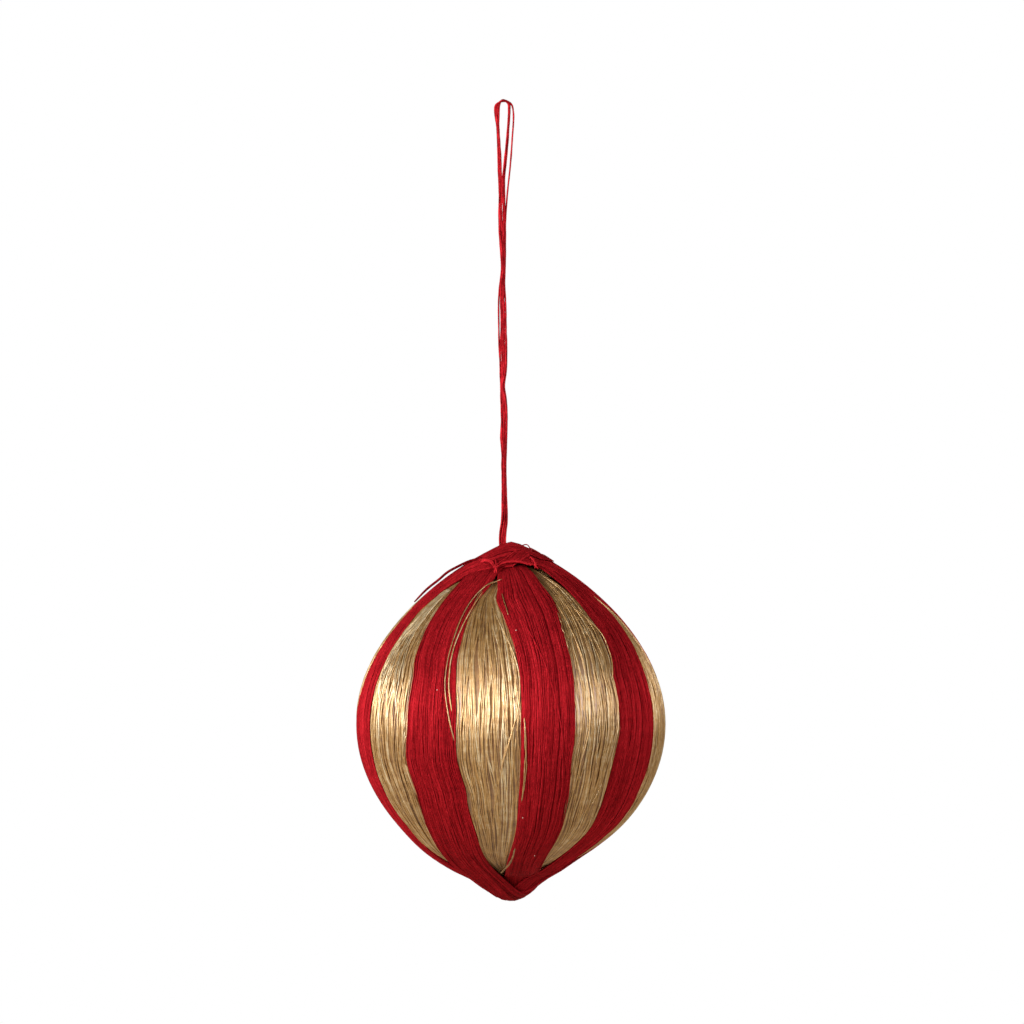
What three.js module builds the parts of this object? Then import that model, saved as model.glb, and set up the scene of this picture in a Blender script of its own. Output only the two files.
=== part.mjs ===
// String-wrapped ball ornament. Red and gold threads are wound over both poles of a pointed ball, so that
// eight red and eight gold bands show, and four strands of the red thread make the loop it hangs by.
// Millimetres, +Z up. The origin is the inside top of the hanging loop. The front of the ball faces -Y,
// and a longitude is counted from there, growing towards +X.
import * as THREE from 'three';

// Sizes of the wound ball
const ballDiameter = 100;
// The bands pile up where they cross at the poles. rise is the height of that pile above a true sphere,
// spread and rounding are the angles over which it fades and is rounded off at its point, and shoulder is
// how far the threads cut the corner halfway between pole and equator. A band is drawn together towards
// each pole: there it has lost the share narrowing of its width, and it widens over the angle narrowSpread.
const topEnd = { rise: 9.1, spread: 18, rounding: 2.2, shoulder: 1.5, narrowing: 0.5, narrowSpread: 24 };
const bottomEnd = { rise: 7.4, spread: 7.5, rounding: 8, shoulder: 1.15, narrowing: 0.38, narrowSpread: 42 };

// Sizes of the bands. Each red winding goes once round the ball and shows as two bands, half a turn apart.
// lean is how far its middle line misses the top pole, towards growing longitude on its front band.
const redBandWidth = 18.4;
const redWindings = [
  { longitude: -77.5, lean: 0 },
  { longitude: -32.7, lean: -0.6 },
  { longitude: 13.7, lean: -1.9 },
  { longitude: 55.1, lean: 0.8 },
];
const seamGap = 0.3;

// Sizes of the hanging loop
const loopDrop = 142.2;
const strandDiameter = 0.5;
const strandCount = 4;
const ballOffset = 2.3;
const bundleHalfTurns = 2.7;

// The loop's route, seen from the front. Each point is its share of the way down from the loop's inside
// top to the ball, and its distance across from the origin. Both legs share the bundle's points.
const bundleRoute = [
  [1, -0.4], [0.935, 0.2], [0.85, 0], [0.765, -0.1], [0.715, 0.2], [0.645, -0.5],
  [0.56, 0], [0.45, 0], [0.395, -0.65], [0.335, -0.35], [0.275, -0.5],
];
const leftRoute = [[0.195, -1.4], [0.12, -1.6], [0.056, -1.95], [0.021, -2.3]];
const rightRoute = [[0.195, -0.3], [0.12, 0.65], [0.056, 1.4], [0.021, 1.7]];
const archMiddle = -0.2;

// Fineness of the faceted solids
const alongSteps = 32;
const acrossSteps = 5;
const strandSteps = 64;
const strandSides = 8;

const ballRadius = ballDiameter / 2;
const redCount = redWindings.length * 2;

// Height of one pole's pile of threads at an angle from that pole
function pileHeight(end, fromPole) {
  const rounding = THREE.MathUtils.degToRad(end.rounding);
  const eased = Math.hypot(fromPole, rounding) - rounding;
  return end.rise * Math.exp(-eased / THREE.MathUtils.degToRad(end.spread));
}

// Distance of the wound surface from the ball's centre, at a polar angle from the top
function surfaceDistance(polar) {
  const piles = pileHeight(topEnd, polar) + pileHeight(bottomEnd, Math.PI - polar);
  const shoulder = polar < Math.PI / 2 ? topEnd.shoulder : bottomEnd.shoulder;
  return ballRadius + piles - shoulder * Math.sin(2 * polar) ** 2;
}

// Height of the wound surface over the ball's centre, at a distance from the axis near the top
function topHeight(fromAxis) {
  let polar = 0;
  for (let pass = 0; pass < 10; pass++) {
    polar = Math.asin(fromAxis / surfaceDistance(polar));
  }
  return surfaceDistance(polar) * Math.cos(polar);
}

function towards(longitude) {
  return new THREE.Vector3(Math.sin(longitude), -Math.cos(longitude), 0);
}

// The red bands in order of longitude, each with the lean that its own side of the winding has
function redBands() {
  const fronts = redWindings.map((winding) => ({
    longitude: THREE.MathUtils.degToRad(winding.longitude),
    lean: winding.lean,
  }));
  const backs = fronts.map((front) => ({ longitude: front.longitude + Math.PI, lean: -front.lean }));
  return [...fronts, ...backs];
}

// Share of a band's width that it has lost at an angle from one pole
function lostWidth(end, fromPole) {
  return end.narrowing * Math.exp(-((fromPole / THREE.MathUtils.degToRad(end.narrowSpread)) ** 2));
}

// Longitude of a red band's edge: it lies half the band's width to the side of the middle line wherever
// the ball is wide enough for it
function redEdge(band, side, polar) {
  const fromAxis = surfaceDistance(polar) * Math.sin(polar);
  const width = redBandWidth * (1 - lostWidth(topEnd, polar) - lostWidth(bottomEnd, Math.PI - polar));
  const sideways = side * width / 2 + band.lean * Math.cos(polar);
  const ratio = fromAxis > Math.abs(sideways) ? sideways / fromAxis : Math.sign(sideways);
  return band.longitude + Math.asin(ratio);
}

// The two edges of the gold that shows between neighbouring red bands. Near the poles no gold is left,
// and both edges are the line where the red bands meet.
function goldEdges(bands, index, polar) {
  const next = (index + 1) % bands.length;
  const turn = next === 0 ? 2 * Math.PI : 0;
  const left = redEdge(bands[index], 1, polar);
  const right = redEdge(bands[next], -1, polar) + turn;
  const middle = (left + right) / 2;
  return left < right ? { left, right } : { left: middle, right: middle };
}

// One band as a closed solid that narrows to the ball's centre like a segment of an orange. It is drawn
// outwards from the axis by as much as leaves the seam gap beside it.
function bandSolid(rows, middle, clearance) {
  const outward = towards(middle).multiplyScalar(clearance);
  const positions = [outward.x, outward.y, outward.z];
  const faces = [];
  const rings = rows.map((row) => {
    const fromAxis = Math.max(0, surfaceDistance(row.polar) - clearance) * Math.sin(row.polar);
    const height = surfaceDistance(row.polar) * Math.cos(row.polar);
    const steps = fromAxis * (row.right - row.left) > seamGap ? acrossSteps : 0;
    const ring = [];
    for (let step = 0; step <= steps; step++) {
      const share = steps ? step / steps : 1 / 2;
      const point = towards(THREE.MathUtils.lerp(row.left, row.right, share)).multiplyScalar(fromAxis);
      point.add(outward).setZ(height);
      ring.push(positions.length / 3);
      positions.push(point.x, point.y, point.z);
    }
    return ring;
  });
  for (let row = 0; row + 1 < rings.length; row++) {
    const upper = rings[row];
    const lower = rings[row + 1];
    for (let step = 0; step < acrossSteps; step++) {
      if (lower.length > 1) {
        faces.push(upper[Math.min(step, upper.length - 1)], lower[step], lower[step + 1]);
      }
      if (upper.length > 1) {
        faces.push(upper[step], lower[Math.min(step + 1, lower.length - 1)], upper[step + 1]);
      }
    }
    faces.push(lower[0], upper[0], 0);
    faces.push(upper.at(-1), lower.at(-1), 0);
  }
  const geometry = new THREE.BufferGeometry();
  geometry.setAttribute('position', new THREE.Float32BufferAttribute(positions, 3));
  geometry.setIndex(faces);
  geometry.computeVertexNormals();
  return geometry;
}

// Outward shift of a band's point that leaves half the seam gap at each of its two straight sides
function seamClearance(edges) {
  const equator = edges(Math.PI / 2);
  return seamGap / 2 / Math.sin((equator.right - equator.left) / 2);
}

// The rows of one band from pole to pole, without those where it has no width, but with the point that
// closes it at each end
function bandRows(edges) {
  const rows = [];
  for (let step = 0; step <= alongSteps; step++) {
    const polar = Math.PI * step / alongSteps;
    rows.push({ polar, ...edges(polar) });
  }
  const shows = rows.map((row) => row.right - row.left > 1e-6);
  return rows.filter((row, step) => shows[step] || shows[step - 1] || shows[step + 1]);
}

function redThread() {
  return new THREE.MeshStandardMaterial({ color: 0xa3161f, roughness: 0.7, metalness: 0 });
}

function goldThread() {
  return new THREE.MeshStandardMaterial({ color: 0xc6a567, roughness: 0.38, metalness: 0.75 });
}

function namedMesh(name, geometry, material) {
  const mesh = new THREE.Mesh(geometry, material);
  mesh.name = name;
  return mesh;
}

function woundBall() {
  const ball = new THREE.Group();
  const bands = redBands();
  for (let index = 0; index < redCount; index++) {
    const before = (index + redCount - 1) % redCount;
    const turn = before > index ? -2 * Math.PI : 0;
    const red = (polar) => ({
      left: goldEdges(bands, before, polar).right + turn,
      right: goldEdges(bands, index, polar).left,
    });
    const gold = (polar) => goldEdges(bands, index, polar);
    const goldMiddle = (gold(Math.PI / 2).left + gold(Math.PI / 2).right) / 2;
    const redSolid = bandSolid(bandRows(red), bands[index].longitude, seamClearance(red));
    const goldSolid = bandSolid(bandRows(gold), goldMiddle, seamClearance(gold));
    ball.add(namedMesh(`red_band_${index + 1}`, redSolid, redThread()));
    ball.add(namedMesh(`gold_band_${index + 1}`, goldSolid, goldThread()));
  }
  ball.position.set(ballOffset, 0, -loopDrop - surfaceDistance(0));
  return ball;
}

// Middle line of one strand: up one leg, round the top of the loop and down the other. Below the parting
// of the legs the whole bundle turns slowly about its own middle.
function strandCurve(row) {
  const pitch = strandDiameter + seamGap;
  const parting = bundleRoute.at(-1)[0];
  const ballTop = surfaceDistance(0);
  const legPoint = (side) => ([share, across]) => {
    const turn = Math.PI * bundleHalfTurns * Math.max(0, share - parting) / (1 - parting);
    const beside = share >= parting ? side * pitch / 2 : 0;
    const x = across + beside * Math.cos(turn) - row * pitch * Math.sin(turn);
    const y = beside * Math.sin(turn) + row * pitch * Math.cos(turn);
    const footDrop = share === 1 ? ballTop - topHeight(Math.hypot(x - ballOffset, y)) - seamGap : 0;
    return new THREE.Vector3(x, y, -share * loopDrop - footDrop);
  };
  const leftLeg = [...bundleRoute, ...leftRoute].map(legPoint(-1));
  const rightLeg = [...bundleRoute, ...rightRoute].map(legPoint(1)).reverse();
  const arch = new THREE.Vector3(archMiddle, row * pitch, strandDiameter / 2);
  return new THREE.CatmullRomCurve3([...leftLeg, arch, ...rightLeg], false, 'centripetal');
}

function hangingLoop() {
  const loop = new THREE.Group();
  const section = new THREE.Shape();
  section.absarc(0, 0, strandDiameter / 2, 0, 2 * Math.PI, false);
  for (let index = 0; index < strandCount; index++) {
    const extrudePath = strandCurve(index - (strandCount - 1) / 2);
    const options = { steps: strandSteps, curveSegments: strandSides / 2, extrudePath };
    const geometry = new THREE.ExtrudeGeometry(section, options);
    loop.add(namedMesh(`loop_strand_${index + 1}`, geometry, redThread()));
  }
  return loop;
}

const ornament = new THREE.Group();
ornament.add(woundBall());
ornament.add(hangingLoop());
export default ornament;
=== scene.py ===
import bpy
import numpy as np
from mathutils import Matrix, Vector


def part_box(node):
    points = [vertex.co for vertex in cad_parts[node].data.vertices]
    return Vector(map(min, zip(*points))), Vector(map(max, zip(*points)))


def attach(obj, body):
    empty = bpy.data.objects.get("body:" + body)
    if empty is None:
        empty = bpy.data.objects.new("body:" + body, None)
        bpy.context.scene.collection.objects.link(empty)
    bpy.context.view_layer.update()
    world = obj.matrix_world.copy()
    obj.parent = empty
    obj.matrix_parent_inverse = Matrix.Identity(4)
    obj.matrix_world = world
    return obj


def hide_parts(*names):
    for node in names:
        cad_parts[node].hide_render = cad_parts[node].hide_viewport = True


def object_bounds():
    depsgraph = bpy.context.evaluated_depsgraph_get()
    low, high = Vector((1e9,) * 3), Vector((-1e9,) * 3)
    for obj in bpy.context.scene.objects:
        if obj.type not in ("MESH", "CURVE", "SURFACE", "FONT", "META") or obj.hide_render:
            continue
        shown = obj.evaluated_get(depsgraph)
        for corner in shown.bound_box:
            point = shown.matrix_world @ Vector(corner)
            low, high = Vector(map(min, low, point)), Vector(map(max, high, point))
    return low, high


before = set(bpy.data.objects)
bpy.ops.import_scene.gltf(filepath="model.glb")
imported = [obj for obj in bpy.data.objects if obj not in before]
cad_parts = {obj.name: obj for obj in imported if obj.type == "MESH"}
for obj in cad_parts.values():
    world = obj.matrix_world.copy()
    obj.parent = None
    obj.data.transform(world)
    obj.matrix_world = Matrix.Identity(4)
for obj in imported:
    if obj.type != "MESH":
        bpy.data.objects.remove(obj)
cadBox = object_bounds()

# A ball wound pole to pole with red and gold thread, hanging from a thin loop of the red one.
# Metres. The origin is the inside top of the loop, the front faces -Y, and a longitude is counted from
# the front towards +X. A turn is the angle round a winding: 0 at the top pole, half a turn at the bottom.

mm = 0.001
deg = np.pi / 180
windings = 4    # of each colour, and each of them shows as two bands


# The wound ball's own shape
ballShape = {
    "radius": 50 * mm,
    "top": {"rise": 9.1 * mm, "spread": 18 * deg, "rounding": 2.2 * deg, "shoulder": 1.5 * mm,
            "narrowing": 0.5, "narrowSpread": 24 * deg},
    "bottom": {"rise": 7.4 * mm, "spread": 7.5 * deg, "rounding": 8 * deg, "shoulder": 1.15 * mm,
               "narrowing": 0.38, "narrowSpread": 42 * deg},
    "slip": {"across": -1.6 * mm, "height": -44 * mm, "spread": 8 * mm},
}


def pileHeight(end, fromPole):
    # The pile of crossing threads: an exponential of the angle from the pole, rounded off at its point
    eased = np.hypot(fromPole, end["rounding"]) - end["rounding"]
    return end["rise"] * np.exp(-eased / end["spread"])


def woundSurface(polar):
    # Distance from the ball's centre: a sphere, plus both piles, less the corner that the threads cut
    top, bottom = ballShape["top"], ballShape["bottom"]
    piles = pileHeight(top, polar) + pileHeight(bottom, np.pi - polar)
    shoulder = np.where(polar < np.pi / 2, top["shoulder"], bottom["shoulder"])
    return ballShape["radius"] + piles - shoulder * np.sin(2 * polar) ** 2


def settled(points):
    # Near the bottom the winding has slipped to one side: a sideways shift that fades up and down
    slip = ballShape["slip"]
    share = np.exp(-((points[..., 2] - ballCentre[2] - slip["height"]) / slip["spread"]) ** 2)
    return points + share[..., None] * np.array([slip["across"], 0.0, 0.0])


def polarOf(turn):
    # Angle from the top pole at a turn round a winding
    return np.minimum(turn, 2 * np.pi - turn)


def keptWidth(polar):
    # Share of a band's width that is left where the threads draw together near a pole
    kept = 1.0
    for end, fromPole in ((ballShape["top"], polar), (ballShape["bottom"], np.pi - polar)):
        kept = kept - end["narrowing"] * np.exp(-(fromPole / end["narrowSpread"]) ** 2)
    return kept


def ballMiddle():
    # Centre of the ball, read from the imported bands
    corners = np.array([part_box(f"{colour}_band_{n + 1}") for colour in ("red", "gold")
                        for n in range(2 * windings)])
    low, high = corners[:, 0].min(0), corners[:, 1].max(0)
    return np.array([(low[0] + high[0]) / 2, (low[1] + high[1]) / 2, high[2] - woundSurface(np.array(0.0))])


ballCentre = ballMiddle()


# Threads as meshes
def addMesh(name, points, faces, uvs, tints, seeds, material):
    # One mesh from whole arrays: faces is a list of corner arrays, one row a face
    mesh = bpy.data.meshes.new(name)
    mesh.vertices.add(len(points))
    mesh.vertices.foreach_set("co", points.astype(np.float32).ravel())
    corners = np.concatenate([block.ravel() for block in faces])
    sizes = np.concatenate([np.full(len(block), block.shape[1]) for block in faces])
    mesh.loops.add(len(corners))
    mesh.loops.foreach_set("vertex_index", corners.astype(np.int32))
    mesh.polygons.add(len(sizes))
    mesh.polygons.foreach_set("loop_start", (np.cumsum(sizes) - sizes).astype(np.int32))
    mesh.polygons.foreach_set("use_smooth", np.ones(len(sizes), bool))
    places = np.concatenate([block.reshape(-1, 4) for block in uvs]).astype(np.float32)
    for label, columns in (("OFBake", places[:, :2]), ("thread", places[:, 2:])):
        mesh.uv_layers.new(name=label).uv.foreach_set("vector", np.ascontiguousarray(columns).ravel())
    for attribute, values in (("tint", tints), ("seed", seeds)):
        mesh.attributes.new(attribute, "FLOAT", "POINT").data.foreach_set("value", values.astype(np.float32))
    mesh.update(calc_edges=True)
    mesh.validate()
    piece = bpy.data.objects.new(name, mesh)
    bpy.context.collection.objects.link(piece)
    mesh.materials.append(material)
    return piece


def tubeGrid(paths, outward, radii, sides, closed, lobes=0, lobeDepth=0.0, turns=None):
    # Round threads along many paths at once. The section is a circle in the plane of the outward
    # direction and the sideways one, which is the path's own direction crossed with outward. Lobes make
    # its radius dip between them, by the absolute cosine of half their angle.
    ahead = np.roll(paths, -1, 1) - np.roll(paths, 1, 1)
    if not closed:
        ahead[:, 0] = paths[:, 1] - paths[:, 0]
        ahead[:, -1] = paths[:, -1] - paths[:, -2]
    ahead /= np.linalg.norm(ahead, axis=2, keepdims=True)
    sideways = np.cross(ahead, outward)
    sideways /= np.linalg.norm(sideways, axis=2, keepdims=True)
    upright = np.cross(sideways, ahead)
    around = np.arange(sides) / sides * 2 * np.pi
    angle = around[None, None] + (0 if turns is None else turns[..., None])
    reach = radii[..., None]
    if lobes:
        reach = reach * (1 - lobeDepth + lobeDepth * np.abs(np.cos(around * lobes / 2)))[None, None]
    return (paths[:, :, None] + (reach * np.cos(angle))[..., None] * upright[:, :, None]
            + (reach * np.sin(angle))[..., None] * sideways[:, :, None])


def lengthsOf(paths, closed):
    # Length of each path: the sum of the gaps between its points
    gaps = np.diff(paths, axis=1, append=paths[:, :1]) if closed else np.diff(paths, axis=1)
    return np.linalg.norm(gaps, axis=2).sum(1)


rowMargin = 0.06    # share of its row on the bake map that a thread leaves free at each side


def gridFaces(count, steps, sides, closed, lengths, rows=None, firstRow=0, threads=1):
    # Quads and end caps of many tubes whose points lie in one array. Each corner also gets four numbers:
    # its place on the bake map, its metres along the thread and the share of the way round it.
    rows = count if rows is None else rows
    lengths = np.broadcast_to(lengths, count)
    spans = steps if closed else steps - 1
    tube, step, side = np.meshgrid(np.arange(count), np.arange(spans), np.arange(sides), indexing="ij")
    tube, step, side = tube.ravel(), step.ravel(), side.ravel()

    def mapRow(number, around):
        return (firstRow + number + rowMargin + (1 - 2 * rowMargin) * around) / rows

    def corner(ds, da):
        return tube * steps * sides + (step + ds) % steps * sides + (side + da) % sides

    def place(ds, da):
        share, around = (step + ds) / spans, (side + da) / sides
        return np.stack([share, mapRow(tube, around), share * lengths[tube], around * threads], 1)

    quads = np.stack([corner(0, 0), corner(1, 0), corner(1, 1), corner(0, 1)], 1)
    quadUvs = np.stack([place(0, 0), place(1, 0), place(1, 1), place(0, 1)], 1)
    if closed:
        return [quads], [quadUvs]
    starts = (np.arange(count) * steps * sides)[:, None] + np.arange(sides)[None]
    ends = starts[:, ::-1] + (steps - 1) * sides
    around = np.broadcast_to(np.arange(sides) / sides, (count, sides))
    rim = mapRow(np.arange(count)[:, None], around)
    nought = np.zeros_like(rim)
    startUvs = np.stack([nought, rim, nought, around], 2)
    endUvs = np.stack([nought + 1, rim[:, ::-1], nought + lengths[:, None], around[:, ::-1]], 2)
    return [quads, starts, ends], [quadUvs, startUvs, endUvs]


def wander(rng, count, turn, waves):
    # A smooth random curve for each thread: a sum of whole-number sine waves, scaled to spread about 1
    numbers = np.arange(waves[0], waves[1] + 1)
    sizes = rng.normal(0, 1, (count, len(numbers), 1)) / np.sqrt(len(numbers) / 2)
    phases = rng.uniform(0, 2 * np.pi, (count, len(numbers), 1))
    return (sizes * np.sin(numbers[None, :, None] * turn[None, None] + phases)).sum(1)


def clumpsOf(rng, count, smallest, largest):
    # Neighbouring threads gather in clumps: each thread's clump number
    sizes = rng.integers(smallest, largest + 1, count)
    return np.repeat(np.arange(count), sizes)[:count]


def onBall(turn, sideways, depth, longitude):
    # Points of a winding: from the centre in the winding's own plane, moved sideways by a true distance
    # and set depth below the wound surface. Returns the points and the outward directions.
    across = np.array([np.sin(longitude), -np.cos(longitude), 0.0])
    beside = np.array([np.cos(longitude), np.sin(longitude), 0.0])
    up = np.array([0.0, 0.0, 1.0])
    polar = polarOf(turn)
    ratio = sideways / woundSurface(polar)
    slant = ratio / np.sqrt(1 - ratio ** 2)
    way = (np.sin(turn)[..., None] * across + np.cos(turn)[..., None] * up + slant[..., None] * beside)
    way /= np.linalg.norm(way, axis=-1, keepdims=True)
    reach = woundSurface(np.arccos(np.clip(way[..., 2], -1, 1))) - depth
    return settled(ballCentre + reach[..., None] * way), way


# Where the windings lie
redBands = {
    "width": 18.4 * mm,
    "longitudes": [-77.5, -32.7, 13.7, 55.1],
    "leans": [0, -0.6, -1.9, 0.8],      # mm, how far the middle line misses the top pole
    "topOrder": [3, 1, 0, 2],           # each winding's rank at the top pole, the highest uppermost
    "bottomOrder": [2, 3, 0, 1],
    "layer": 0.6 * mm,
    "layerFade": (12 * deg, 21 * deg),  # between these angles from the pole the layers run together
    # How far an edge lies from its even place: degrees of turn from the top pole (the front half is
    # above zero) and mm, for the low edge and the high edge of each winding
    "edges": [
        {"low": [(-180, 0), (180, 0)],
         "high": [(-180, 0), (-75, 0), (-45, 2.5), (-30, 5.2), (-15, 8.0), (0, 9.9), (9, 9.4), (18, 3.4),
                  (26, 0.9), (33, -0.3), (41, -1.3), (52, 0.1), (80, 1.2), (100, 1.2), (114, 0),
                  (122, -1.1), (131, -1.0), (145, -0.6), (180, 0)]},
        {"low": [(-180, -2.0), (-150, 0), (-30, 0), (0, 2.0), (15, 3.0), (27, 2.6), (34, 1.9), (42, 1.1),
                 (50, 0.7), (63, 0.7), (70, 2.0), (76, 2.1), (83, 1.7), (90, 1.7), (102, 0), (115, 1.0),
                 (122, 0.3), (131, -1.0), (139, -1.5), (155, -2.0), (180, -2.0)],
         "high": [(-180, 0), (15, 0), (27, -0.8), (34, -2.3), (42, -3.0), (50, -2.6), (56, -2.1),
                  (63, -1.5), (70, -0.3), (83, 1.2), (102, 1.2), (114, 2.2), (122, 1.2), (131, 0.8),
                  (140, 0.3), (150, 0), (180, 0)]},
        {"low": [(-180, 0), (20, 0), (27, -0.3), (34, -1.5), (42, -0.2), (50, 0.7), (56, 1.3), (63, 1.7),
                 (70, 1.7), (76, 1.3), (83, 1.0), (90, 0.3), (100, 0), (180, 0)],
         "high": [(-180, -1.0), (-150, 0), (-10, 0), (5, -1.5), (18, -2.5), (26, -2.0), (30, -1.3),
                  (34, -0.4), (42, 0.3), (56, 0.3), (63, 0.6), (76, 0.3), (90, 0), (96, -0.5), (102, -1.3),
                  (114, -1.6), (122, -2.0), (131, -1.7), (160, -1.7), (180, -1.0)]},
        {"low": [(-180, 0), (0, 0), (15, 1.0), (21, 1.8), (27, 3.4), (34, 3.6), (42, 3.5), (50, 3.9),
                 (56, 3.2), (63, 2.2), (70, 0.1), (90, -0.6), (102, -2.0), (114, -1.1), (122, 0.2),
                 (131, 2.0), (138, 2.6), (152, 2.3), (165, 1.2), (180, 0)],
         "high": [(-180, -1.0), (-150, 0), (25, 0), (34, -1.7), (42, 1.1), (56, 1.1), (63, 0.5), (95, 0.3),
                  (112, 0.8), (122, 1.4), (131, 1.2), (138, -0.7), (146, -0.6), (155, -2.0), (180, -1.0)]},
    ],
    "threads": 60,
    "diameter": 0.33 * mm,
}
goldBands = {
    "tuck": 1.3 * mm,                   # how far gold runs on under the red edges
    "neck": 1.6 * mm,                   # half width of the gold where it passes under the poles
    "sunk": 0.16 * mm,
    "poleDepth": 3.8 * mm,
    "poleSpread": 21 * deg,
    "pitch": 0.375 * mm,
    "diameter": 0.42 * mm,
}
fineness = {"steps": 128, "redSides": 6, "goldSides": 6}
windingTurns = np.arange(fineness["steps"]) / fineness["steps"] * 2 * np.pi


def redEdge(number, side, turn):
    # How far sideways a red winding's edge lies, for turns from minus half a turn (the back) to half a turn
    places, extra = np.array(redBands["edges"][number]["low" if side < 0 else "high"]).T
    even = side * redBands["width"] / 2 * keptWidth(np.abs(turn))
    lean = redBands["leans"][number] * mm * np.cos(turn)
    return even + lean + np.interp(turn / deg, places, extra) * mm


def redLine(number, side, polar, back):
    # The same edge as a longitude, on the front half of the winding or on its back half
    fromAxis = np.maximum(woundSurface(polar) * np.sin(polar), 1e-6)
    sideways = -redEdge(number, -side, -polar) if back else redEdge(number, side, polar)
    return (redBands["longitudes"][number] * deg + (np.pi if back else 0)
            + np.arcsin(np.clip(sideways / fromAxis, -1, 1)))


def goldSpace(number, polar, back):
    # The space between two red bands as its two edge longitudes, closed where the reds meet
    left = redLine(number, 1, polar, back)
    last = number == windings - 1
    right = redLine(0 if last else number + 1, -1, polar, back != last) + (2 * np.pi if last and back else 0)
    middle = (left + right) / 2
    isOpen = left < right
    return np.where(isOpen, left, middle), np.where(isOpen, right, middle)


def redEdges(number, turn):
    # A red winding's longitude, middle and half width
    signed = (turn + np.pi) % (2 * np.pi) - np.pi
    low, high = redEdge(number, -1, signed), redEdge(number, 1, signed)
    return redBands["longitudes"][number] * deg, (low + high) / 2, (high - low) / 2


def goldEdges(number, turn):
    # A gold winding's longitude, middle and half width, from the spaces that it fills in front and behind
    equator = np.array(np.pi / 2)
    longitude = float(np.mean(goldSpace(number, equator, False)))
    polar = polarOf(turn)
    fromAxis = woundSurface(polar) * np.sin(polar)
    frontLeft, frontRight = goldSpace(number, polar, False)
    backLeft, backRight = goldSpace(number, polar, True)
    front = turn < np.pi
    low = np.where(front, np.sin(frontLeft - longitude), -np.sin(backRight - longitude - np.pi)) * fromAxis
    high = np.where(front, np.sin(frontRight - longitude), -np.sin(backLeft - longitude - np.pi)) * fromAxis
    half = np.hypot((high - low) / 2, goldBands["neck"]) + goldBands["tuck"] * np.sin(polar)
    return longitude, (low + high) / 2, half


def stepDown(values, start, stop):
    # 1 up to start, 0 from stop on, and smooth between
    share = np.clip((values - start) / (stop - start), 0, 1)
    return 1 - share * share * (3 - 2 * share)


def poleFade(turn, spread):
    # 1 at a pole and fading with the square of the angle from it: one curve for each pole
    polar = polarOf(turn)
    return np.exp(-(polar / spread) ** 2), np.exp(-((np.pi - polar) / spread) ** 2)


# What all the windings share. A place across a winding runs from -1 at one edge to 1 at the other.
winding = {
    "gatherMean": 0.6, "gatherSpread": 0.6, "gatherLimit": 1.4, "gatherWaves": (2, 7),
    "placeLimit": 1.03,
    "looseStart": 0.75, "looseLimit": 0.86, "looseWaves": (1, 3), "looseLift": 0.08 * mm, "looseTone": 0.3,
    "clumpSinkWaves": (1, 5),
    "edge": (0.80, 0.97),               # the outermost threads sink between these places
    "uneven": 0.1, "unevenWaves": (3, 20),
    # The last of these sets how far from a pole the painted shade near the poles reaches
    "clumpToneWaves": (0, 4), "alongToneWaves": (6, 40), "paintedPoleShadeSpread": 34 * deg,
    "strip": 40,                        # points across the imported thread
    "ribPoints": 2.5,                   # points to each of its ribs
    "bedRows": 4,                       # rows of the bake map that it takes
    "bedSeed": 0.37,
}


def packedBed(edges, turn, depth, look):
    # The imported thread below: a flat ring whose section is a closed strip, ribbed along the threads
    longitude, middle, half = edges
    strip = winding["strip"]
    point = np.arange(2 * strip)
    across = np.concatenate([np.linspace(-1, 1, strip), np.linspace(1, -1, strip)])
    ribs = look["ribs"] * np.abs(np.sin(point * np.pi / winding["ribPoints"]))
    below = look["bedDepth"] + np.where(point < strip, ribs, look["bedThickness"])
    bed, _ = onBall(np.broadcast_to(turn[:, None], (len(turn), 2 * strip)),
                    middle[:, None] + half[:, None] * across[None] * look["bedWidth"],
                    depth[:, None] + below[None], longitude)
    return bed.reshape(-1, 3)


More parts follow.
